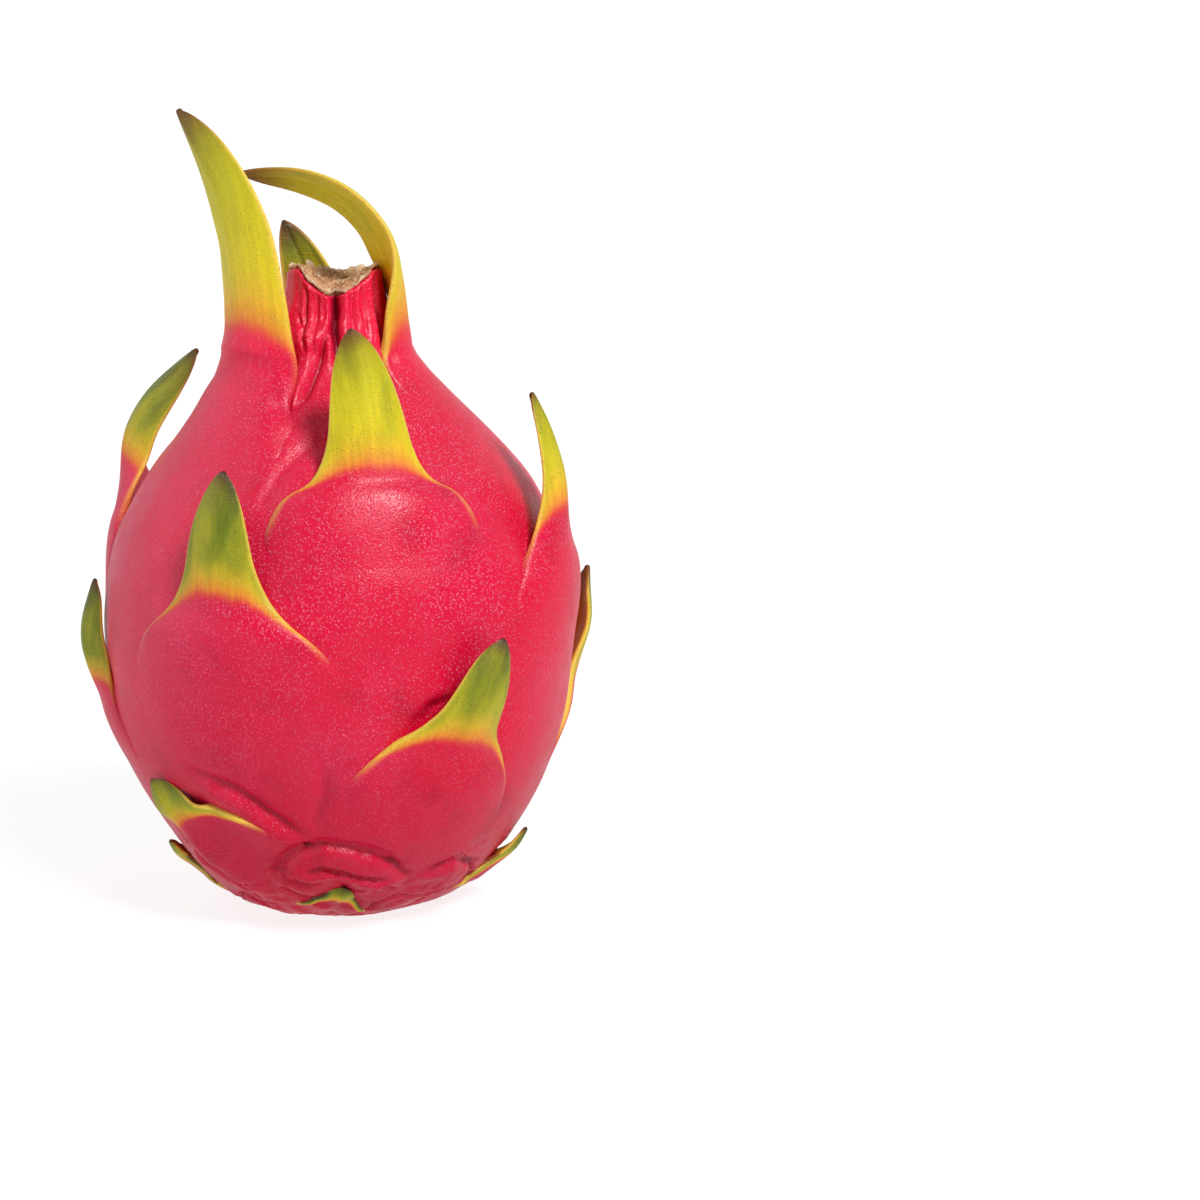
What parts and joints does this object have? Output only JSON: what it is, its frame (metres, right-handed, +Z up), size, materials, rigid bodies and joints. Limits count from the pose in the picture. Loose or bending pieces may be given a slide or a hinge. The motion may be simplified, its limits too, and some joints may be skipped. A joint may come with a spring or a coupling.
{
  "type": "dragon fruit",
  "caption": "Whole ripe dragon fruit with a pink-red rind, green-tipped bracts that curve upwards, and a dry flower end on a short neck.",
  "frame": {"origin": "middle of the small flat spot at the stem end that the fruit rests on", "axes": "+Z up the fruit's axis to the neck, -Y towards the side with the shoulder bract between the two crown bracts"},
  "size_m": [0.0995, 0.098, 0.1569],
  "materials": {
    "rind": "waxy satin skin, crimson-pink with fine pale speckles",
    "bract": "waxy satin, red at the foot through yellow to olive green at the tip",
    "dry_tube": "dry, matt and fibrous"
  },
  "bodies": {
    "root": {"fruit_body": "rind", "dry_flower_end": "dry_tube", "crown_bract_tall": "bract", "crown_bract_arched": "bract", "crown_bract_back": "bract", "shoulder_bract_front": "bract", "shoulder_bract_right": "bract", "shoulder_bract_left": "bract", "upper_bract_right": "bract", "upper_bract_left": "bract", "upper_bract_back": "bract", "belly_bract_left": "bract", "belly_bract_right": "bract", "belly_bract_back_right": "bract", "belly_bract_back_left": "bract", "foot_bract_left": "bract", "foot_bract_left_low": "bract", "foot_bract_front": "bract", "foot_bract_right": "bract", "foot_bract_back_right": "bract", "foot_bract_back_left": "bract"}
  },
  "joints": []
}
